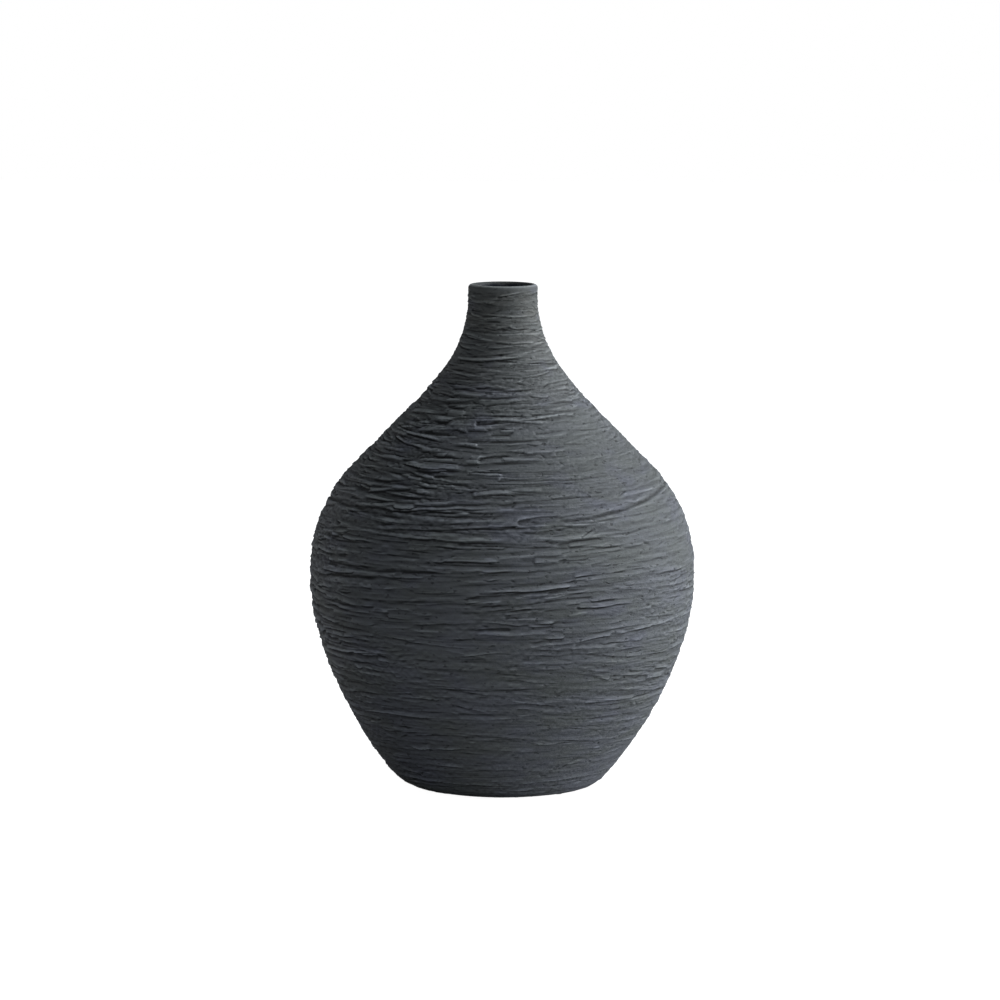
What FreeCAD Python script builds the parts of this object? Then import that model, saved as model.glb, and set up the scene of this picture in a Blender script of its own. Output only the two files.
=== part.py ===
"""A narrow-necked stoneware bottle vase, thrown in three sections and luted together.

The clay wall is a lower body with its floor and foot ring, a shoulder section and a neck
collar. Each section meets the next in a V tongue and groove, filled by a ring of joining
slip. A thick combed coat of slip covers the outside and the lip. A glaze lines the inside,
and another patch of glaze lies in the recess under the floor. The foot ring is left bare.

Each layer is a half-area in the XZ plane, turned about Z. Its edge is a chain of straights
and tangent bends, so a layer's thickness is an inset of the same bends.

Units are millimetres. +Z is up, and the origin is the centre of the foot, on the surface
that the vase stands on.
"""

import FreeCAD
import Part

import math
import os

# --- outside of the coat: each bend is (radius, turn in degrees) -----------------------------
HEIGHT = 300.0
NECK_RADIUS = 20.7
BELLY_RADIUS = 114.7
NECK_SWEEPS = [(70.7, 36.6), (224.0, 7.9)]  # from the upright neck out to the slope
SHOULDER_RADIUS = 89.0  # from the slope round to the upright belly
LOWER_BENDS = [(139.0, 16.0), (220.0, 25.0)]  # from the belly down the flank
FOOT_RADIUS = 21.0  # from the flank round to the ground

# --- inside of the lining glaze --------------------------------------------------------------
BORE_RADIUS = 16.6
INNER_SWEEPS = [(66.0, 44.5)]
INNER_BENDS = [(132.2, 16.0), (199.0, 25.0)]
INNER_FOOT_RADIUS = 20.0

# --- layers ----------------------------------------------------------------------------------
COAT = 1.2
CLAY = 5.1  # at the belly; the lip is thinner and the foot is thicker
GLAZE = 0.5
LIP_RADIUS = 2.25  # of the lip's outer edge

# --- foot ------------------------------------------------------------------------------------
COAT_END_TILT = 22.0  # degrees up the foot's bend, where the coat is wiped off
RECESS_RADIUS = 40.5
RECESS_DEPTH = 2.5

# --- luted joints ----------------------------------------------------------------------------
SHOULDER_JOINT_TILT = 28.0  # degrees that the wall leans at the joint
NECK_JOINT_TILT = 34.0
SLIP_THICKNESS = 0.8
TONGUE_INSET = 3.8  # of the tongue's ridge, under the outside
TONGUE_WIDTH = 2.6
TONGUE_HEIGHT = 1.6

REACH = 400.0  # larger than the whole vase


def sin(degrees):
    return math.sin(math.radians(degrees))


def cos(degrees):
    return math.cos(math.radians(degrees))


def span(bends):
    """How far across, and how far along, a chain of bends goes that starts upright."""
    across = 0.0
    along = 0.0
    tilt = 0.0
    for radius, turn in bends:
        across += radius * (cos(tilt) - cos(tilt + turn))
        along += radius * (sin(tilt + turn) - sin(tilt))
        tilt += turn
    return across, along


def to_ground(bends, foot_radius):
    """A flank's bends, with the foot's bend that brings them level."""
    return bends + [(foot_radius, 90.0 - sum(turn for _, turn in bends))]


def point(r, z):
    return FreeCAD.Vector(r, 0, z)


def area(corners):
    """A straight-sided area with these (r, z) corners."""
    ring = [point(*corner) for corner in corners]
    return Part.Face(Part.makePolygon(ring + ring[:1]))


class Pen:
    """Draws straights and tangent bends in the XZ plane.

    A heading of 0 degrees is away from the axis, 90 is down and 180 is towards the axis.
    A bend with a positive turn adds to the heading.
    """

    def __init__(self, start, heading):
        self.start = start
        self.place = start
        self.heading = heading
        self.edges = []

    def go_to(self, place):
        self.edges.append(Part.LineSegment(point(*self.place), point(*place)).toShape())
        self.place = place

    def go(self, length):
        r, z = self.place
        self.go_to((r + length * cos(self.heading), z - length * sin(self.heading)))

    def bend(self, radius, turn):
        r, z = self.place
        arm = math.copysign(radius, turn)
        centre = (r - arm * sin(self.heading), z - arm * cos(self.heading))

        def on_arc(heading):
            return centre[0] + arm * sin(heading), centre[1] + arm * cos(heading)

        middle = on_arc(self.heading + turn / 2)
        end = on_arc(self.heading + turn)
        self.edges.append(Part.Arc(point(*self.place), point(*middle), point(*end)).toShape())
        self.place = end
        self.heading += turn

    def enclosed(self):
        self.go_to(self.start)
        return Part.Face(Part.Wire(self.edges))


class Skin:
    """One surface of the wall, from the crown of the lip to the middle of the floor.

    The lip's radius is positive where the skin turns outwards from the crown, and negative
    where it turns inwards. The straights on the neck and on the slope take up what is left
    between the bends.
    """

    def __init__(self, crown, lip_radius, sweeps, belly_radius, lower_bends):
        self.crown = crown
        self.lip_radius = lip_radius
        self.sweeps = sweeps
        self.belly_radius = belly_radius
        self.lower_bends = lower_bends
        self.shoulder_radius = SHOULDER_RADIUS - (BELLY_RADIUS - belly_radius)

        sweep_across, sweep_along = span(sweeps)
        shoulder_across, shoulder_along = span([(self.shoulder_radius, SLOPE)])
        slope_across = belly_radius - CROWN_RADIUS - lip_radius - sweep_across - shoulder_across
        self.slope_length = slope_across / sin(SLOPE)
        slope_along = self.slope_length * cos(SLOPE)
        self.sweep_top = BELLY_HEIGHT + shoulder_along + slope_along + sweep_along

    def inset(self, depth):
        """The skin this far under this one. A negative depth is nearer the outside."""
        return Skin(
            self.crown - abs(depth),
            self.lip_radius - depth,
            [(radius + depth, turn) for radius, turn in self.sweeps],
            self.belly_radius - depth,
            [(radius - depth, turn) for radius, turn in self.lower_bends],
        )

    def filled(self):
        """The half-area within this skin, up to the level of its crown."""
        lip_turn = math.copysign(90.0, self.lip_radius)
        pen = Pen((CROWN_RADIUS, self.crown), 90.0 - lip_turn)
        pen.bend(abs(self.lip_radius), lip_turn)
        pen.go(pen.place[1] - self.sweep_top)
        for radius, turn in self.sweeps:
            pen.bend(radius, -turn)
        pen.go(self.slope_length)
        pen.bend(self.shoulder_radius, SLOPE)
        for radius, turn in self.lower_bends:
            pen.bend(radius, turn)
        pen.go_to((0.0, pen.place[1]))
        pen.go_to((0.0, self.crown))
        return pen.enclosed()


SLOPE = sum(turn for _, turn in NECK_SWEEPS)
CROWN_RADIUS = NECK_RADIUS - LIP_RADIUS
OUTER_BENDS = to_ground(LOWER_BENDS, FOOT_RADIUS)
BELLY_HEIGHT = span(OUTER_BENDS)[1]
FOOT_EDGE_RADIUS = BELLY_RADIUS - span(OUTER_BENDS)[0]

OUTSIDE = Skin(HEIGHT, LIP_RADIUS, NECK_SWEEPS, BELLY_RADIUS, OUTER_BENDS)
CLAY_OUTSIDE = OUTSIDE.inset(COAT)
HOLLOW = Skin(
    HEIGHT,
    BORE_RADIUS - CROWN_RADIUS,
    INNER_SWEEPS,
    BELLY_RADIUS - COAT - CLAY - GLAZE,
    to_ground(INNER_BENDS, INNER_FOOT_RADIUS),
)
CLAY_INSIDE = HOLLOW.inset(-GLAZE)


def bare_foot():
    """The area round the foot where there is no coat. Its edge is square to the surface."""
    edge = FOOT_EDGE_RADIUS + REACH * math.tan(math.radians(COAT_END_TILT))
    below = FOOT_RADIUS - REACH
    top = FOOT_RADIUS
    return area([(0, top), (FOOT_EDGE_RADIUS, top), (edge, below), (0, below)])


def recess(low, high):
    """The slice of the recess under the floor between these two heights."""
    return area([(0, low), (RECESS_RADIUS - low, low), (RECESS_RADIUS - high, high), (0, high)])


def above_joint(centre, distance, tilt, lift):
    """Everything above a joint face, moved up along the wall by this lift.

    The face runs out square to the wall through the centre of the wall's bend. The tongue
    stands on it at this distance from that centre.
    """

    def at(out, up):
        r = centre[0] + out * cos(tilt) - up * sin(tilt)
        z = centre[1] + out * sin(tilt) + up * cos(tilt)
        return r, z

    return area([
        at(distance - REACH, lift),
        at(distance - TONGUE_WIDTH / 2, lift),
        at(distance, lift + TONGUE_HEIGHT),
        at(distance + TONGUE_WIDTH / 2, lift),
        at(distance + REACH, lift),
        at(distance + REACH, lift + REACH),
        at(distance - REACH, lift + REACH),
    ])


def above_shoulder_joint(lift):
    centre = (BELLY_RADIUS - SHOULDER_RADIUS, BELLY_HEIGHT)
    return above_joint(centre, SHOULDER_RADIUS - TONGUE_INSET, SHOULDER_JOINT_TILT, lift)


def above_neck_joint(lift):
    sweep_radius = NECK_SWEEPS[0][0]
    centre = (NECK_RADIUS + sweep_radius, OUTSIDE.sweep_top)
    return above_joint(centre, -sweep_radius - TONGUE_INSET, NECK_JOINT_TILT, lift)


def save(name, section):
    """Turn a half-area about Z and save the solid as this node."""
    turned = section.removeSplitter().revolve(FreeCAD.Vector(), FreeCAD.Vector(0, 0, 1), 360)
    turned.exportStep(f"parts/{name}.step")
    print(f"{name}: {len(turned.Solids)} solid, valid {turned.isValid()},"
          f" volume {turned.Volume / 1000:.2f} ml")


def main():
    os.makedirs("parts", exist_ok=True)

    outside = OUTSIDE.filled()
    hollow = HOLLOW.filled()
    clay_hollow = CLAY_INSIDE.filled()

    wrapping = outside.cut(CLAY_OUTSIDE.filled()).cut(bare_foot())
    core = outside.cut(wrapping)
    clay = core.cut(clay_hollow).cut(recess(0, RECESS_DEPTH))
    coat = wrapping.cut(hollow)
    lining = clay_hollow.common(core).cut(hollow)

    above_shoulder_slip = clay.common(above_shoulder_joint(SLIP_THICKNESS))
    above_neck_slip = clay.common(above_neck_joint(SLIP_THICKNESS))
    save("lower_body", clay.cut(above_shoulder_joint(0)))
    save("shoulder_joint_slip", clay.common(above_shoulder_joint(0)).cut(above_shoulder_slip))
    save("shoulder_section", above_shoulder_slip.cut(above_neck_joint(0)))
    save("neck_joint_slip", clay.common(above_neck_joint(0)).cut(above_neck_slip))
    save("neck_collar", above_neck_slip)

    save("textured_coat", coat)
    save("liner_glaze", lining)
    save("recess_glaze", recess(RECESS_DEPTH - GLAZE, RECESS_DEPTH))


main()
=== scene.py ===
"""A stoneware bottle vase with a combed matte coat, on a pale floor in soft light.

Shapes are worked out in millimetres and made in metres.
"""

import math

import bpy
import numpy as np
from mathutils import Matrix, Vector


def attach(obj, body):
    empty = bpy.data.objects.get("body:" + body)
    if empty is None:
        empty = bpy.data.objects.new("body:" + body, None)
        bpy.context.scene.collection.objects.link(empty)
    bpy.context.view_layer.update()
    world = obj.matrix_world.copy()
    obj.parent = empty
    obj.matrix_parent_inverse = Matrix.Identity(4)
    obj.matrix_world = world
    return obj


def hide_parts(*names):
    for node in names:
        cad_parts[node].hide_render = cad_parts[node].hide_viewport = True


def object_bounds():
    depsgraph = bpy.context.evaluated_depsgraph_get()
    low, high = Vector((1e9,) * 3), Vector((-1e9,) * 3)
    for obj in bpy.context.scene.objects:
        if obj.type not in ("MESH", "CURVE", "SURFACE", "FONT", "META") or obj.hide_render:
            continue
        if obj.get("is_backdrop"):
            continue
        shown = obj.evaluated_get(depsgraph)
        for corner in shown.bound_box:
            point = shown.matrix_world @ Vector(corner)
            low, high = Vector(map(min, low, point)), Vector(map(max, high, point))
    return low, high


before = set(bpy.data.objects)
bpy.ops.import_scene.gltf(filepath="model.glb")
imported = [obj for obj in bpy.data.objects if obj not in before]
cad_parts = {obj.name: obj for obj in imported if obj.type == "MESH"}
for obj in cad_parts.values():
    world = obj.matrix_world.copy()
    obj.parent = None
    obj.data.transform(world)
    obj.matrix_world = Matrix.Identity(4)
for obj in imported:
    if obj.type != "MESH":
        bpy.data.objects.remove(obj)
cad_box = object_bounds()

# --- outline of the coat, as in the CAD: each bend is (radius, turn in degrees) ----------------
HEIGHT = 300.0
NECK_RADIUS = 20.7
BELLY_RADIUS = 114.7
LIP_RADIUS = 2.25
BORE_RADIUS = 16.6
NECK_SWEEPS = [(70.7, 36.6), (224.0, 7.9)]
SHOULDER_RADIUS = 89.0
LOWER_BENDS = [(139.0, 16.0), (220.0, 25.0)]
FOOT_RADIUS = 21.0
COAT_END_TILT = 22.0
LIP_END_HEIGHT = 298.8
COAT = 1.2
LIP_STEPS = 8
INNER_LIP_STEPS = 6
OUTSIDE_UV_SHARE = 0.95
OUTLINE_STEP = 0.05

# --- relief: azimuths run from the front (-Y) towards +X ----------------------------------------
COLUMNS = 1024
ROW_STEP = 0.42
DEEPEST = 1.08  # below the CAD's smooth coat, which is 1.2 thick
PROUDEST = 0.7
PROUD_SHARE = 0.5  # of the surface lies outside the CAD's smooth coat
LEVEL_ROWS = 7  # each side, over which a point's own height is told from its surroundings'
JOINT_HEIGHT = 173.0
JOINT_RADIUS = 104.0
JOINT_TILT = 2.6  # degrees, higher on the right
JOINT_WIDTH = 0.8
JOINT_DEPTH = 0.85

BAND_PITCH = 2.9  # up the wall, between rows of long bands
STRAY_BAND_AREA = 130  # square mm of wall for each one of these, and of the next four
SMUDGE_AREA = 420
GROOVE_AREA = 170
PIT_AREA = 150
CRUMB_AREA = 240

# soft spots with stronger or weaker marks: azimuth, height, half width in degrees, half height
# in mm, and how much is added to the strength. The spots in one row add up, and rows multiply.
SPOTS = [
    [(-39, 196, 32, 34, 1.30), (52, 198, 46, 42, -0.74)],
    [(-92, 200, 20, 42, -0.48)],
    [(22, 128, 22, 20, 0.15), (-72, 132, 20, 32, 0.65)],
    [(-28, 134, 24, 32, -0.34)],
    [(60, 52, 34, 32, 0.40), (-66, 72, 26, 30, 0.45)],
    [(-60, JOINT_HEIGHT - 2, 24, 11, -0.45)],
]

# azimuth, height, length, width and depth of the boldest marks
BOLD_MARKS = [
    (-52, 143.5, 84, 2.3, 1.05),
    (-62, 138, 52, 1.9, 0.85),
    (-55, 125, 90, 1.6, 0.70),
    (-66, 116, 34, 1.3, 0.45),
    (12, 159, 92, 1.4, 0.55),
    (-150, 150, 70, 1.6, 0.60),
    (160, 118, 85, 1.5, 0.55),
    (105, 140, 60, 1.4, 0.50),
]

rng = np.random.default_rng(20)


def smooth(t):
    """From 0 to 1, level at both ends."""
    t = np.clip(t, 0, 1)
    return t * t * (3 - 2 * t)


def arc_points(start, heading, radius, turn, steps):
    """Points and headings along a bend. Heading 0 is outwards and 90 is down."""
    arm = math.copysign(radius, turn)
    h0 = math.radians(heading)
    centre = (start[0] - arm * math.sin(h0), start[1] - arm * math.cos(h0))
    h = np.radians(heading + turn * np.linspace(0, 1, steps + 1)[1:])
    return np.stack([centre[0] + arm * np.sin(h), centre[1] + arm * np.cos(h)], 1), h


def outline():
    """The outside from the top of the neck's wall down to the coat's end, in small steps."""
    slope = math.radians(sum(turn for _, turn in NECK_SWEEPS))
    foot_turn = 90 - sum(turn for _, turn in LOWER_BENDS)

    def span(bends):
        tilt = across = along = 0.0
        for radius, turn in bends:
            end = tilt + math.radians(turn)
            across += radius * (math.cos(tilt) - math.cos(end))
            along += radius * (math.sin(end) - math.sin(tilt))
            tilt = end
        return across, along

    sweep = span(NECK_SWEEPS)
    shoulder = span([(SHOULDER_RADIUS, math.degrees(slope))])
    slope_length = (BELLY_RADIUS - NECK_RADIUS - sweep[0] - shoulder[0]) / math.sin(slope)
    belly_height = span(LOWER_BENDS + [(FOOT_RADIUS, foot_turn)])[1]
    neck_end = belly_height + shoulder[1] + slope_length * math.cos(slope) + sweep[1]

    top = HEIGHT - LIP_RADIUS
    points = [np.array([[NECK_RADIUS, top]])]
    headings = [np.array([math.pi / 2])]
    heading = 90.0

    def go(length):
        t = np.linspace(0, 1, max(2, int(length / OUTLINE_STEP)))[1:, None]
        h = math.radians(heading)
        way = np.array([math.cos(h), -math.sin(h)]) * length
        points.append(points[-1][-1] + t * way)
        headings.append(np.full(len(t), h))

    def bend(radius, turn):
        nonlocal heading
        steps = max(4, int(radius * math.radians(abs(turn)) / OUTLINE_STEP))
        p, h = arc_points(points[-1][-1], heading, radius, turn, steps)
        points.append(p)
        headings.append(h)
        heading += turn

    go(top - neck_end)
    for radius, turn in NECK_SWEEPS:
        bend(radius, -turn)
    go(slope_length)
    bend(SHOULDER_RADIUS, math.degrees(slope))
    for radius, turn in LOWER_BENDS:
        bend(radius, turn)
    bend(FOOT_RADIUS, foot_turn - COAT_END_TILT)
    return np.concatenate(points), np.concatenate(headings)


class Wall:
    """Evenly spaced rows up the coat's outside, from the foot to the neck's top."""

    def __init__(self):
        points, headings = outline()
        points = points[::-1]
        headings = headings[::-1]
        way = np.concatenate([[0], np.cumsum(np.hypot(*np.diff(points, axis=0).T))])
        count = int(round(way[-1] / ROW_STEP)) + 1
        self.s = np.linspace(0, way[-1], count)
        self.step = self.s[1]
        self.r = np.interp(self.s, way, points[:, 0])
        self.z = np.interp(self.s, way, points[:, 1])
        h = np.interp(self.s, way, headings)
        self.normal_r = np.sin(h)
        self.normal_z = np.cos(h)
        self.theta = np.arange(COLUMNS) * 2 * math.pi / COLUMNS
        self.shape = (count, COLUMNS)
        self.area = (2 * math.pi * self.r * self.step).sum()
        self.small = 0.5 + 0.5 * smooth((self.r - 18) / 50)  # marks are smaller on the neck
        self.fine = 1 - 0.22 * smooth((self.z - 215) / 50)


def soft_noise(wall, length_s, length_x):
    """Smooth noise with spots of this size in mm, mean 0 and spread 1.

    It is made as if the wall had one of three radii, and blended to suit each row's own.
    """
    total = np.zeros(wall.shape)
    square = np.zeros(wall.shape[0])
    radii = [22.0, 44.0, 88.0]
    for k, radius in enumerate(radii):
        place = np.log2(np.clip(wall.r, 22, 88) / radius)
        weight = np.clip(1 - abs(place), 0, 1)
        white = rng.standard_normal(wall.shape)
        fs = np.fft.fftfreq(wall.shape[0], wall.step)[:, None]
        fx = np.fft.rfftfreq(COLUMNS, 2 * math.pi * radius / COLUMNS)[None, :]
        keep = np.exp(-2 * (math.pi * 0.42) ** 2 * ((fs * length_s) ** 2 + (fx * length_x) ** 2))
        noise = np.fft.irfft2(np.fft.rfft2(white) * keep, wall.shape)
        total += weight[:, None] * noise / noise.std()
        square += weight**2
    return total / np.sqrt(square)[:, None]


class Relief:
    """The depth of the coat's surface, in mm, cut by one stroke of a tool after another."""

    def __init__(self, wall):
        self.wall = wall
        self.depth = np.zeros(wall.shape)
        self.row_chance = np.cumsum(wall.r / wall.r.sum())
        self.drift = 0.04 * soft_noise(wall, 40, 55)  # slope that neighbouring strokes share

    def random_row(self):
        return int(np.searchsorted(self.row_chance, rng.random()))

    def scatter(self, area_each):
        """Random rows and columns, spread evenly over the wall."""
        for _ in range(int(self.wall.area / area_each)):
            row = self.random_row()
            yield row, int(rng.integers(COLUMNS))

    def window(self, row, column, length, reach, slope, bow):
        """Rows, columns, distance along and distance above a stroke's middle line, in mm."""
        wall = self.wall
        pitch = 2 * math.pi * wall.r[row] / COLUMNS
        count = min(COLUMNS - 2, int(length / pitch) + 3)
        along = (np.arange(count) - count / 2) * pitch
        columns = (column + np.arange(count)) % COLUMNS
        t = along / length
        line = slope * along + bow * (4 * t * t - 0.5)
        line += 0.25 * np.sin(along / rng.uniform(3, 9) + rng.uniform(0, 6.3))
        line += lean(wall, row, columns)
        line += wall.s[row]
        low = max(0, int((line.min() - reach) / wall.step))
        high = min(wall.shape[0], int((line.max() + reach) / wall.step) + 2)
        rows = np.arange(low, high)
        above = wall.s[rows][:, None] - line[None, :]
        return np.ix_(rows, columns), t, along, above

    def ribbon(self, row, column, length, width, level, shingle, crown, slope, bow, crack):
        """A band smeared level over what was there, with its lower edge proud and cracked."""
        slope += self.drift[row, column]
        where, t, along, above = self.window(row, column, length, width, slope, bow)
        if where[0].size == 0:
            return
        half = width / 2 * (0.85 + 0.15 * np.sin(along / rng.uniform(4, 14) + rng.uniform(0, 6.3)))
        start = smooth((0.5 + t) * length / rng.uniform(2, 11))
        end = smooth((0.5 - t) * length / rng.uniform(0.8, 4))
        if rng.random() < 0.5:
            start, end = end[::-1], start[::-1]
        half = half * (0.50 + 0.50 * np.minimum(start, end) ** 0.5)
        u = above / half
        mask = smooth((1 - abs(u)) * half / 0.4) * start * end
        shape = level - shingle * u + crown * (1 - u * u)
        part = self.depth[where]
        part += (shape - part) * mask
        if crack:
            gate = smooth(0.7 + 1.2 * np.sin(along / rng.uniform(8, 40) + rng.uniform(0, 6.3)))
            gate = gate * np.minimum(1, (start + 0.25) * (end + 0.25))
            under = np.exp(-(((above + half + 0.15) / 0.42) ** 2))
            burr = np.exp(-(((above + half - 0.55) / 0.40) ** 2))
            part += gate * crack * (0.36 * burr - under)
        self.depth[where] = part

    def groove(self, row, column, length, width, depth, burr, slope):
        """A cut with a burr along its upper edge, fading towards both ends."""
        slope += self.drift[row, column]
        where, t, along, above = self.window(row, column, length, width * 2, slope, 0.0)
        if where[0].size == 0:
            return
        fade = smooth((0.5 - abs(t)) * length / (0.3 * length + 1))
        fade = fade * (0.75 + 0.25 * np.sin(along / rng.uniform(2, 8) + rng.uniform(0, 6.3)))
        u = above / (width / 2)
        cut = np.exp(-np.where(u > 0, u * 0.9, u * 1.4) ** 2)
        lip = np.exp(-((u - 1.9) ** 2) / 0.5)
        self.depth[where] += (burr * lip - depth * cut) * fade

    def smudge(self, row, column, length, width, level):
        """A soft spot where a finger has wiped most of the marks away."""
        where, t, _, above = self.window(row, column, length, width, 0.0, 0.0)
        if where[0].size == 0:
            return
        spot = np.exp(-((2.6 * t) ** 2) - (above / (0.5 * width)) ** 2)
        self.depth[where] += 0.8 * (level - self.depth[where]) * spot


def lean(wall, row, columns):
    """How far the strokes of one turn rise, so that they follow the slanting shoulder joint."""
    near = math.exp(-(((wall.z[row] - JOINT_HEIGHT) / 55) ** 2))
    across = wall.r[row] * np.cos(wall.theta[columns])
    return near * math.tan(math.radians(JOINT_TILT)) * across


def patch(wall, azimuth, height, wide, tall):
    """A soft spot on the wall, 1 in its middle, this many degrees wide and mm tall each way."""
    middle = math.radians(azimuth - 90)
    across = np.angle(np.exp(1j * (wall.theta - middle))) / math.radians(wide)
    up = (wall.z - height) / tall
    return np.exp(-(up[:, None] ** 2) - across[None, :] ** 2)


def comb_strength(wall):
    """How deep the marks are: less on the neck, the foot and the right of the shoulder."""
    strength = 1.0 + 0.18 * np.clip(soft_noise(wall, 40, 80), -1.7, 1.7)
    strength *= (0.52 + 0.48 * smooth((wall.z - 20) / 105))[:, None]
    strength *= (0.55 + 0.45 * smooth((260 - wall.z) / 50))[:, None]
    strength *= 0.88 - 0.16 * np.cos(wall.theta)[None, :]
    for row in SPOTS:
        strength *= 1 + sum(amount * patch(wall, *spot) for *spot, amount in row)
    return strength


def band_places(wall):
    """Row, column and length of long bands laid end to end round the wall, in random order."""
    places = []
    s = 0.0
    while s < wall.s[-1]:
        row = int(s / wall.step)
        turn = 2 * math.pi * wall.r[row]
        at = rng.uniform(0, turn)
        stop = at + turn
        while at < stop:
            length = float(np.clip(rng.lognormal(3.95, 0.75), 9, 300)) * wall.small[row]
            length *= 0.40 + 0.60 * smooth((250 - wall.z[row]) / 80)
            middle = at + length / 2
            shifted = np.clip(row + rng.normal(0, 1.0) / wall.step, 0, wall.shape[0] - 1)
            places.append((int(shifted), int(middle / turn * COLUMNS) % COLUMNS, length * 1.12))
            at += length
        s += BAND_PITCH * wall.small[row] * wall.fine[row]
    rng.shuffle(places)
    return places


def lay_bands(relief):
    """Bands of smeared clay all over, then short stray ones on top."""
    wall = relief.wall
    places = band_places(wall)
    for _ in range(int(wall.area / STRAY_BAND_AREA)):
        row = relief.random_row()
        length = float(np.clip(rng.lognormal(2.7, 0.6), 5, 90))
        places.append((row, int(rng.integers(COLUMNS)), length))
    for row, column, length in places:
        wild = smooth((wall.z[row] - 150) / 90)
        width = float(np.clip(rng.lognormal(1.36, 0.34), 1.6, 7.5))
        width *= wall.small[row] * wall.fine[row]
        relief.ribbon(
            row,
            column,
            length,
            width,
            level=rng.normal(0, 0.20 + 0.14 * wild),
            shingle=rng.uniform(0.02, 0.45) * min(width, 4) / 3,
            crown=rng.uniform(0.0, 0.40),
            slope=rng.normal(0, 0.022 + 0.06 * wild),
            bow=rng.normal(0, 0.012 + 0.02 * wild) * length,
            crack=rng.uniform(0.3, 1.0) if rng.random() < 0.5 else 0.0,
        )


def wipe_smudges(relief):
    """Spots that a finger has wiped."""
    small = relief.wall.small
    for row, column in relief.scatter(SMUDGE_AREA):
        length = rng.uniform(10, 34) * small[row]
        width = rng.uniform(3, 9) * small[row]
        relief.smudge(row, column, length, width, rng.normal(0, 0.12))


def cut_grooves(relief, strength):
    """Single scratches, some of them forked."""
    small = relief.wall.small
    for row, column in relief.scatter(GROOVE_AREA):
        length = float(np.clip(rng.lognormal(3.0, 0.8), 4, 170)) * small[row]
        depth = rng.uniform(0.15, 0.7) * min(1.1, strength[row, column])
        slope = rng.normal(0, 0.03)
        width = rng.uniform(0.7, 1.3) * small[row]
        relief.groove(row, column, length, width, depth, rng.uniform(0, 0.2), slope)
        if rng.random() < 0.25:
            side = rng.choice([-1.0, 1.0])
            fork = slope + side * rng.uniform(0.05, 0.18)
            relief.groove(row, column, length * 0.6, width, depth * 0.8, 0.05, fork)


def cut_pits(relief):
    """Short tears, and now and then a longer one."""
    for row, column in relief.scatter(PIT_AREA):
        length = rng.uniform(1.2, 4.5) if rng.random() < 0.85 else rng.uniform(5, 11)
        width = rng.uniform(0.8, 1.8)
        depth = rng.uniform(0.2, 0.85)
        burr = rng.uniform(0, 0.25)
        relief.groove(row, column, length, width, depth, burr, rng.normal(0, 0.3))


def raise_crumbs(relief):
    """Crumbs and threads of clay that stick up: pits turned inside out."""
    for row, column in relief.scatter(CRUMB_AREA):
        length = rng.uniform(2.0, 11.0)
        width = rng.uniform(0.9, 1.8)
        depth = -rng.uniform(0.1, 0.45)
        burr = -rng.uniform(0.1, 0.4)
        relief.groove(row, column, length, width, depth, burr, rng.normal(0, 0.12))


def cut_bold_marks(relief):
    for azimuth, height, length, width, depth in BOLD_MARKS:
        row = int(np.searchsorted(relief.wall.z, height))
        column = int((azimuth - 90) % 360 / 360 * COLUMNS)
        relief.groove(row, column, length, width, depth, 0.12, 0.02)


def comb(wall):
    """The coat's depth in mm, and each point's own height above or below its surroundings."""
    relief = Relief(wall)
    strength = comb_strength(wall)
    lay_bands(relief)
    wipe_smudges(relief)
    relief.depth *= strength
    cut_grooves(relief, strength)
    cut_pits(relief)
    raise_crumbs(relief)
    cut_bold_marks(relief)
    depth = relief.depth + joint_line(wall)

    torn = smooth(0.3 + 0.7 * soft_noise(wall, 14, 30)) * strength
    depth += (0.03 + 0.07 * torn) * soft_noise(wall, 1.1, 1.9)
    depth += 0.055 * soft_noise(wall, 1.0, 14) * np.minimum(strength, 1)
    depth += 0.03 * soft_noise(wall, 1.2, 6) + 0.05 * soft_noise(wall, 5, 30)

    to_rim = wall.s[-1] - wall.s
    depth *= (0.12 + 0.88 * smooth((to_rim - 0.3) / 1.8))[:, None]
    depth += 0.16 * soft_noise(wall, 30, 70) * smooth(to_rim / 12)[:, None]

    # each point's height against its surroundings, which the coat's material turns into painted
    # shade in low spots and painted highlights on high ones
    level = depth - blur(depth, LEVEL_ROWS)
    # this painted shade and highlight is made stronger towards the neck and the foot
    level *= (1 + 0.35 * smooth((wall.z - 215) / 50) + 0.3 * smooth((80 - wall.z) / 40))[:, None]
    depth -= np.quantile(depth, PROUD_SHARE)
    depth = np.clip(depth, -DEEPEST, PROUDEST)
    return depth + foot_swell(wall), level


def foot_swell(wall):
    """The vase is a little fuller on the left, just above the foot."""
    swell = smooth((wall.z - 1.5) / 6) * smooth((54 - wall.z) / 26)
    return swell[:, None] * (0.30 - 0.36 * np.cos(wall.theta))[None, :]


def joint_line(wall):
    """The long dark line round the shoulder, where two thrown sections meet.

    It gapes at the left and dips at the right of the front.
    """
    rise = math.tan(math.radians(JOINT_TILT)) * JOINT_RADIUS * np.cos(wall.theta)
    rise += 3 * np.cos(2 * wall.theta) + 1.5 + 0.4 * np.sin(5 * wall.theta + 2.1)
    gape = patch(wall, -58, JOINT_HEIGHT, 26, 20)
    dip = patch(wall, 26, JOINT_HEIGHT, 34, 40)
    middle = JOINT_HEIGHT + rise[None, :] - 3 * dip + 2 * gape
    above = (wall.z[:, None] - middle) / (JOINT_WIDTH + 0.5 * gape)
    fade = 0.62 - 0.30 * np.cos(wall.theta) + 0.12 * np.cos(2 * wall.theta)
    fade = fade[None, :] + 0.45 * patch(wall, 52, JOINT_HEIGHT, 30, 40) + 0.5 * gape
    cut = np.exp(-np.where(above > 0, above * 0.7, above * 1.1) ** 2)
    return -JOINT_DEPTH * cut * fade


def blur(field, cells):
    """A running mean up the wall."""
    padded = np.pad(field, ((cells, cells), (0, 0)), mode="edge")
    total = np.cumsum(np.vstack([np.zeros((1, field.shape[1])), padded]), axis=0)
    width = 2 * cells + 1
    return (total[width:] - total[:-width]) / width


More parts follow.
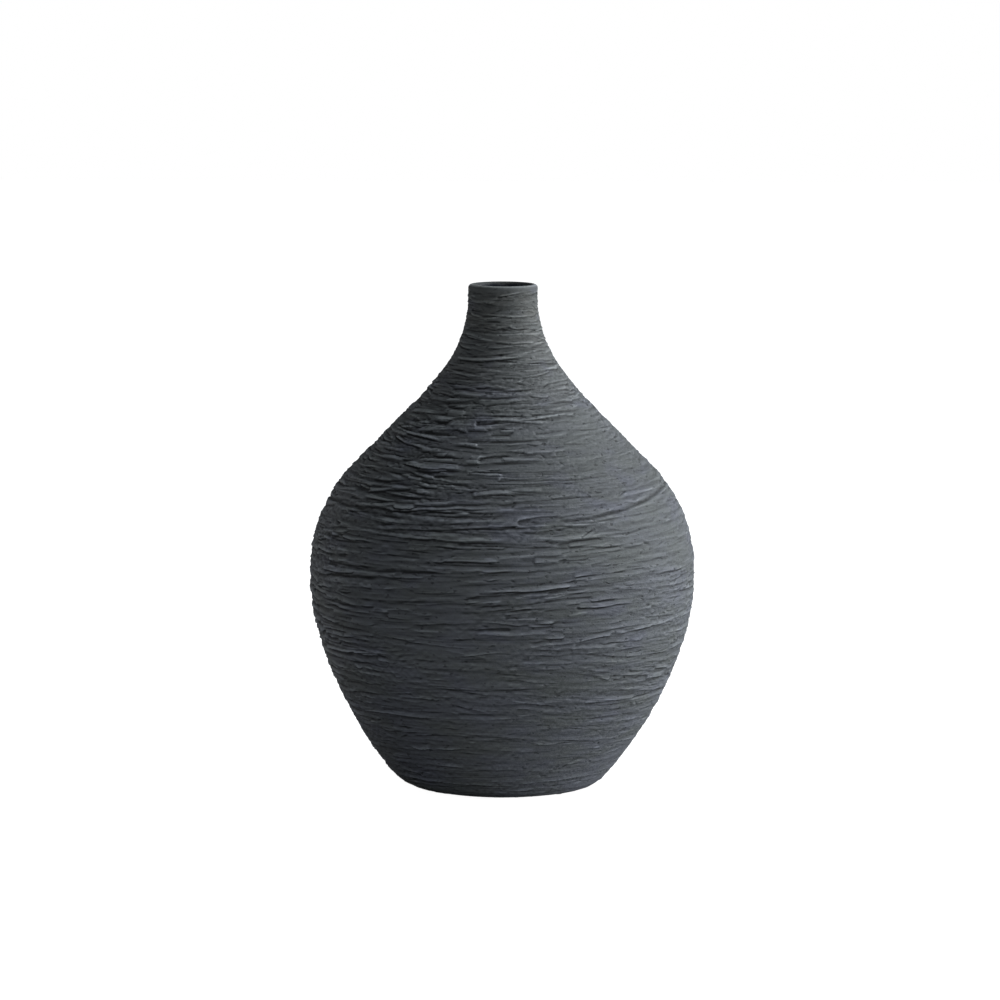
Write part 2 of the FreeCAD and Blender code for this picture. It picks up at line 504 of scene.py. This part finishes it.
def ring_mesh(name, rings_r, rings_z, v, sharp):
    """A tube closed on itself: rings of (r, z) for every column, joined in order and round."""
    count = len(rings_r)
    theta = np.arange(COLUMNS) * 2 * math.pi / COLUMNS
    r = np.array(rings_r) / 1000
    z = np.array(rings_z) / 1000
    points = np.stack([r * np.cos(theta), r * np.sin(theta), z], 2).reshape(-1, 3)

    i = np.arange(count)[:, None]
    j = np.arange(COLUMNS)[None, :]
    up = (i + 1) % count
    on = (j + 1) % COLUMNS
    corners = [i * COLUMNS + j, i * COLUMNS + on, up * COLUMNS + on, up * COLUMNS + j]

    def per_corner(*values):
        grids = [np.broadcast_to(value, (count, COLUMNS)) for value in values]
        return np.stack(grids, 2).reshape(-1)

    quads = per_corner(*corners)
    v = np.append(v, 1.0)
    low = v[:-1][:, None]
    high = v[1:][:, None]
    left = j / COLUMNS
    right = (j + 1) / COLUMNS
    uv = per_corner(left, low, right, low, right, high, left, high)

    mesh = bpy.data.meshes.new(name)
    mesh.vertices.add(len(points))
    mesh.vertices.foreach_set("co", points.reshape(-1).astype(np.float32))
    mesh.loops.add(len(quads))
    mesh.loops.foreach_set("vertex_index", quads.astype(np.int32))
    mesh.polygons.add(len(quads) // 4)
    mesh.polygons.foreach_set("loop_start", np.arange(0, len(quads), 4, dtype=np.int32))
    mesh.update(calc_edges=True)
    mesh.polygons.foreach_set("use_smooth", np.ones(len(quads) // 4, bool))
    layer = mesh.uv_layers.new(name="OFBake")
    layer.uv.foreach_set("vector", uv.astype(np.float32))

    ends = np.zeros(len(mesh.edges) * 2, np.int32)
    mesh.edges.foreach_get("vertices", ends)
    ring = ends.reshape(-1, 2) // COLUMNS
    marked = (ring[:, 0] == ring[:, 1]) & np.isin(ring[:, 0], sharp)
    mesh.attributes.new("sharp_edge", "BOOLEAN", "EDGE").data.foreach_set("value", marked)
    return mesh


def make_coat():
    """The combed coat, over the outside and the lip, with its hidden side on the clay."""
    wall = Wall()
    depth, level = comb(wall)
    r = list(wall.r[:, None] + depth * wall.normal_r[:, None])
    z = list(wall.z[:, None] + depth * wall.normal_z[:, None])
    way = list(wall.s)
    relief = list(level)

    def ring(radius, height, step, relief_value=0.0):
        """One more ring of points, this many mm on from the last."""
        r.append(np.broadcast_to(radius, (COLUMNS,)))
        z.append(np.broadcast_to(height, (COLUMNS,)))
        relief.append(np.broadcast_to(relief_value, (COLUMNS,)))
        way.append(way[-1] + step)

    crown = NECK_RADIUS - LIP_RADIUS
    inner_lip = crown - BORE_RADIUS
    highlight_by_azimuth = 0.80 - 0.20 * np.cos(wall.theta - math.radians(20))  # painted highlight along the lip, strongest on the left
    # the lip's outer rings carry a painted highlight over the top of the lip
    for k in range(1, LIP_STEPS + 1):
        a = math.radians(90 * k / LIP_STEPS)
        out = LIP_RADIUS + depth[-1] * (1 - k / LIP_STEPS)
        lip_highlight_and_shade = 0.05 + highlight_by_azimuth * smooth((k - 2.5) / 2.5)
        ring(crown + out * math.cos(a), HEIGHT - LIP_RADIUS + out * math.sin(a), 0.45, lip_highlight_and_shade)
    end = math.degrees(math.asin((LIP_END_HEIGHT - HEIGHT + inner_lip) / inner_lip))
    # the inner rings carry the painted highlight at the edge, then painted shade further down into
    # the mouth
    for k in range(1, INNER_LIP_STEPS + 1):
        a = math.radians(90 - (90 - end) * k / INNER_LIP_STEPS)
        height = HEIGHT - inner_lip + inner_lip * math.sin(a)
        lip_highlight_and_shade = highlight_by_azimuth * max(0, 1 - k / 2) - 0.04 * k
        ring(crown - inner_lip * math.cos(a), height, 0.4, lip_highlight_and_shade)
    lip_end = len(r) - 1
    outside_end = way[-1]

    # the hidden side needs few rings: closer ones on the neck, where the outline bends most
    ring(crown, LIP_END_HEIGHT, 1.0)
    last = wall.shape[0] - 1
    neck_root = wall.shape[0] * 0.72
    for k in [*np.arange(last, neck_root, -11).astype(int), *range(int(neck_root), 0, -22), 0]:
        ring(wall.r[k] - COAT * wall.normal_r[k], wall.z[k] - COAT * wall.normal_z[k], 1.0)

    # the outside takes most of the UV map, and the hidden side the rest
    way = np.array(way)
    hidden = (way - outside_end) / (way[-1] - outside_end + 1)
    v = np.where(
        way <= outside_end,
        way / outside_end * OUTSIDE_UV_SHARE,
        OUTSIDE_UV_SHARE + (1 - OUTSIDE_UV_SHARE) * hidden,
    )
    mesh = ring_mesh("combed_coat", r, z, v, sharp=[0, lip_end, len(r) - 1])
    # the relief attribute carries the painted shade and highlights, the lip's too, into the coat's
    # material
    values = np.array(relief, np.float32).reshape(-1)
    mesh.attributes.new("relief", "FLOAT", "POINT").data.foreach_set("value", values)
    coat = bpy.data.objects.new("combed_coat", mesh)
    bpy.context.collection.objects.link(coat)
    return coat


class Nodes:
    """Builds a material's nodes in few words."""

    def __init__(self, name):
        self.material = bpy.data.materials.new(name)
        self.material.use_nodes = True
        self.tree = self.material.node_tree
        self.shader = self.tree.nodes["Principled BSDF"]

    def add(self, kind, inputs=None, **settings):
        node = self.tree.nodes.new(kind)
        for key, value in settings.items():
            setattr(node, key, value)
        for key, value in (inputs or {}).items():
            self.put(node.inputs[key], value)
        return node

    def put(self, socket, value):
        if isinstance(value, bpy.types.NodeSocket):
            self.tree.links.new(value, socket)
        else:
            socket.default_value = value

    def place(self, scale):
        """Object coordinates, stretched by this scale."""
        where = self.add("ShaderNodeTexCoord").outputs["Object"]
        return self.add("ShaderNodeMapping", {"Vector": where, "Scale": scale}).outputs[0]

    def noise(self, scale, detail=2.0, rough=0.5):
        inputs = {"Vector": self.place(scale), "Scale": 1.0, "Detail": detail, "Roughness": rough}
        return self.add("ShaderNodeTexNoise", inputs).outputs["Fac"]

    def remap(self, value, low, high, to_low, to_high):
        inputs = {0: value, 1: low, 2: high, 3: to_low, 4: to_high}
        return self.add("ShaderNodeMapRange", inputs).outputs[0]

    def mix(self, factor, a, b, blend="MIX"):
        node = self.add("ShaderNodeMix", data_type="RGBA", blend_type=blend)
        self.put(node.inputs["Factor"], factor)
        self.put(node.inputs[6], a)
        self.put(node.inputs[7], b)
        return node.outputs[2]

    def scale_colour(self, colour, value):
        grey = self.add("ShaderNodeCombineColor", {0: value, 1: value, 2: value}).outputs[0]
        return self.mix(1.0, colour, grey, "MULTIPLY")

    def math(self, operation, a, b):
        return self.add("ShaderNodeMath", {0: a, 1: b}, operation=operation).outputs[0]

    def bump(self, height, distance):
        inputs = {"Height": height, "Distance": distance, "Strength": 1.0}
        return self.add("ShaderNodeBump", inputs).outputs[0]


FLANK_COLOUR = (0.095, 0.102, 0.121, 1)
SHOULDER_COLOUR = (0.0920, 0.0985, 0.1075, 1)
NECK_COLOUR = (0.0868, 0.0900, 0.0872, 1)
GREEN_TINT = (0.086, 0.0935, 0.0965, 1)
VIOLET_TINT = (0.087, 0.092, 0.120, 1)
SPECK_COLOUR = (0.06, 0.045, 0.035, 1)


def coat_material():
    """Dry dark slip: cool grey, greener towards the neck, with painted highlights on crests and
    painted shade in marks.
    """
    m = Nodes("combed_coat")
    relief = m.add("ShaderNodeAttribute", attribute_name="relief").outputs["Fac"]
    patches = m.noise((9, 9, 22), 3.0, 0.55)
    tint = m.noise((26, 26, 64), 3.0, 0.6)
    streaks = m.noise((38, 38, 800), 4.0, 0.7)
    grain = m.noise((900, 900, 1500), 3.0, 0.6)
    pores = m.noise((420, 420, 900), 2.0, 0.5)

    where = m.add("ShaderNodeTexCoord").outputs["Object"]
    height = m.add("ShaderNodeSeparateXYZ", {0: where}).outputs["Z"]
    cool = m.mix(m.remap(height, 0.05, 0.24, 0, 1), FLANK_COLOUR, SHOULDER_COLOUR)
    cool = m.mix(m.remap(height, 0.22, 0.28, 0, 1), cool, NECK_COLOUR)
    colour = m.mix(m.remap(tint, 0.36, 0.64, 0, 1), GREEN_TINT, cool)
    violet = m.remap(m.noise((34, 34, 80), 2.0, 0.5), 0.57, 0.70, 0, 0.5)
    colour = m.mix(violet, colour, VIOLET_TINT)
    shade = m.remap(patches, 0.3, 0.7, 0.90, 1.10)
    shade = m.math("MULTIPLY", shade, m.remap(streaks, 0.3, 0.7, 0.83, 1.17))
    shade = m.math("MULTIPLY", shade, m.remap(grain, 0.3, 0.7, 0.92, 1.08))
    # painted shade in the marks and painted highlights on the crests, from each point's height
    # against its surroundings
    shade = m.math("MULTIPLY", shade, m.remap(relief, -0.45, 0.38, 0.32, 1.45))
    # painted highlight, brighter still on the highest crests and along the lip
    shade = m.math("MULTIPLY", shade, m.remap(relief, 0.26, 1.00, 1.0, 2.1))
    # painted shade, darker still in the deepest marks and in the joint line
    shade = m.math("MULTIPLY", shade, m.remap(relief, -0.85, -0.42, 0.40, 1.0))
    # painted shade in small pits, which the bump below also dents in
    shaded_pits = m.remap(m.noise((230, 230, 560), 1.0, 0.5), 0.67, 0.74, 0, 1)
    shade = m.math("MULTIPLY", shade, m.remap(shaded_pits, 0, 1, 1.0, 0.5))
    m.put(m.shader.inputs["Base Color"], m.scale_colour(colour, shade))

    rough = m.remap(relief, -0.3, 0.3, 0.86, 0.70)
    m.put(m.shader.inputs["Roughness"], rough)
    m.shader.inputs["Specular IOR Level"].default_value = 0.38
    fine = m.math("ADD", m.math("MULTIPLY", streaks, 1.2), m.math("MULTIPLY", pores, 0.8))
    fine = m.math("ADD", fine, m.math("MULTIPLY", grain, 0.5))
    fine = m.math("SUBTRACT", fine, m.math("MULTIPLY", shaded_pits, 0.8))
    m.put(m.shader.inputs["Normal"], m.bump(fine, 0.00044))
    return m.material


def clay_material(name, base):
    """Bare fired clay with fine sand in it."""
    m = Nodes(name)
    sand = m.noise((700, 700, 700), 3.0, 0.6)
    cloud = m.noise((40, 40, 40), 3.0, 0.5)
    specks = m.remap(m.noise((1500, 1500, 1500), 1.0, 0.5), 0.62, 0.7, 0, 1)
    colour = m.scale_colour(base, m.remap(cloud, 0.3, 0.7, 0.85, 1.15))
    colour = m.mix(specks, colour, SPECK_COLOUR)
    m.put(m.shader.inputs["Base Color"], colour)
    m.put(m.shader.inputs["Roughness"], m.remap(sand, 0.3, 0.7, 0.78, 0.92))
    m.put(m.shader.inputs["Normal"], m.bump(sand, 0.00018))
    return m.material


def glaze_material(name, base, gloss):
    """Glaze, pooled a little darker in places, with a soft orange-peel surface."""
    m = Nodes(name)
    cloud = m.noise((25, 25, 25), 3.0, 0.5)
    peel = m.noise((260, 260, 260), 1.0, 0.5)
    colour = m.scale_colour(base, m.remap(cloud, 0.3, 0.7, 0.8, 1.2))
    m.put(m.shader.inputs["Base Color"], colour)
    m.put(m.shader.inputs["Roughness"], m.remap(cloud, 0.3, 0.7, gloss, gloss + 0.1))
    m.put(m.shader.inputs["Normal"], m.bump(peel, 0.00010))
    return m.material


# --- pieces -------------------------------------------------------------------------------------
coat = make_coat()
coat.data.materials.append(coat_material())
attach(coat, "root")
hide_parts("textured_coat")

clay = clay_material("stoneware_clay", (0.20, 0.165, 0.14, 1))
slip = clay_material("joining_slip", (0.26, 0.22, 0.18, 1))
looks = {
    "lower_body": clay,
    "shoulder_section": clay,
    "neck_collar": clay,
    "shoulder_joint_slip": slip,
    "neck_joint_slip": slip,
    "liner_glaze": glaze_material("lining_glaze", (0.020, 0.024, 0.034, 1), 0.22),
    "recess_glaze": glaze_material("recess_glaze", (0.045, 0.048, 0.055, 1), 0.4),
}
for node, material in looks.items():
    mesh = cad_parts[node].data
    mesh.materials.clear()
    mesh.materials.append(material)


# --- floor, world, lights -----------------------------------------------------------------------
def floor_material():
    """White paper, which looks brighter than it reflects so that the foot stays dark."""
    m = Nodes("paper")
    paper = m.add("ShaderNodeBsdfDiffuse", {"Color": (0.5, 0.5, 0.5, 1)})
    glow = m.add("ShaderNodeEmission", {"Color": (1, 1, 1, 1), "Strength": 0.97})
    seen = m.add("ShaderNodeAddShader", {0: paper.outputs[0], 1: glow.outputs[0]})
    dim = m.add("ShaderNodeBsdfDiffuse", {"Color": (0.42, 0.42, 0.42, 1)})
    ray = m.add("ShaderNodeLightPath").outputs["Is Camera Ray"]
    choice = m.add("ShaderNodeMixShader", {0: ray, 1: dim.outputs[0], 2: seen.outputs[0]})
    m.put(m.tree.nodes["Material Output"].inputs["Surface"], choice.outputs[0])
    return m.material


def studio_world():
    """A white backdrop that gives only a weak, cool fill."""
    world = bpy.data.worlds.new("studio")
    world.use_nodes = True
    tree = world.node_tree
    tree.nodes.clear()
    ray = tree.nodes.new("ShaderNodeLightPath")
    choice = tree.nodes.new("ShaderNodeMixShader")
    output = tree.nodes.new("ShaderNodeOutputWorld")
    tree.links.new(ray.outputs["Is Camera Ray"], choice.inputs[0])
    looks = [((0.92, 0.97, 1.0, 1), 0.16), ((1, 1, 1, 1), 1.0)]
    for socket, (colour, strength) in zip((1, 2), looks):
        background = tree.nodes.new("ShaderNodeBackground")
        background.inputs["Color"].default_value = colour
        background.inputs["Strength"].default_value = strength
        tree.links.new(background.outputs[0], choice.inputs[socket])
    tree.links.new(choice.outputs[0], output.inputs["Surface"])
    return world


bpy.ops.mesh.primitive_plane_add(size=12, location=(0, 0, 0))
floor = bpy.context.object
floor.name = "floor"
floor.data.materials.append(floor_material())
floor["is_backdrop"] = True
bpy.context.scene.world = studio_world()


def aimed(obj, place, target):
    """Puts an object in the scene at this place, looking at the target."""
    obj.location = place
    obj.rotation_euler = (Vector(target) - Vector(place)).to_track_quat("-Z", "Y").to_euler()
    bpy.context.collection.objects.link(obj)


def add_light(name, kind, place, target, power, **settings):
    light = bpy.data.lights.new(name, kind)
    light.energy = power
    for key, value in settings.items():
        setattr(light, key, value)
    aimed(bpy.data.objects.new(name, light), place, target)


def area_light(name, place, target, size, power, colour):
    add_light(name, "AREA", place, target, power,
              shape="RECTANGLE", size=size[0], size_y=size[1], color=colour)


def placed(azimuth, elevation, distance):
    """A place seen from the vase at this azimuth, in degrees from the front towards +X."""
    a = math.radians(azimuth)
    e = math.radians(elevation)
    flat = distance * math.cos(e)
    return (flat * math.sin(a), -flat * math.cos(a), 0.15 + distance * math.sin(e))


# name, place, target, size in metres, watts and colour
area_light("key", placed(98, 38, 2.1), (0, 0, 0.17), (2.2, 0.45), 45, (0.97, 1.0, 1.02))
area_light("side", placed(90, 4, 2.1), (0, 0, 0.12), (2.4, 0.5), 37, (0.97, 1.0, 1.01))
add_light("rim", "SPOT", placed(-132, -1, 2.1), (0, 0, 0.085), 22,
          spot_size=math.radians(17), spot_blend=1.0, shadow_soft_size=0.12)
area_light("front_fill", placed(8, 5, 2.4), (0, 0, 0.10), (1.6, 0.6), 7.5, (0.93, 0.97, 1.0))

# --- camera -------------------------------------------------------------------------------------
DISTANCE = 2.70  # far off and a little above, as the mouth's and the foot's curves show
ELEVATION = math.radians(7.9)
ROLL = math.radians(0.18)
lens = bpy.data.cameras.new("camera")
lens.lens = 162.7
lens.shift_x = -0.0022
lens.shift_y = 0.0345
camera = bpy.data.objects.new("camera", lens)
middle = Vector((0, 0, HEIGHT / 2000))
away = Vector((0, -math.cos(ELEVATION), math.sin(ELEVATION)))
aimed(camera, middle + DISTANCE * away, middle)
camera.rotation_euler.rotate_axis("Z", ROLL)
bpy.context.scene.camera = camera
bpy.context.scene.view_settings.view_transform = "Standard"

boxes = {"cad": cad_box, "visual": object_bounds()}
{k: [list(map(float, corner)) for corner in box] for k, box in boxes.items()}
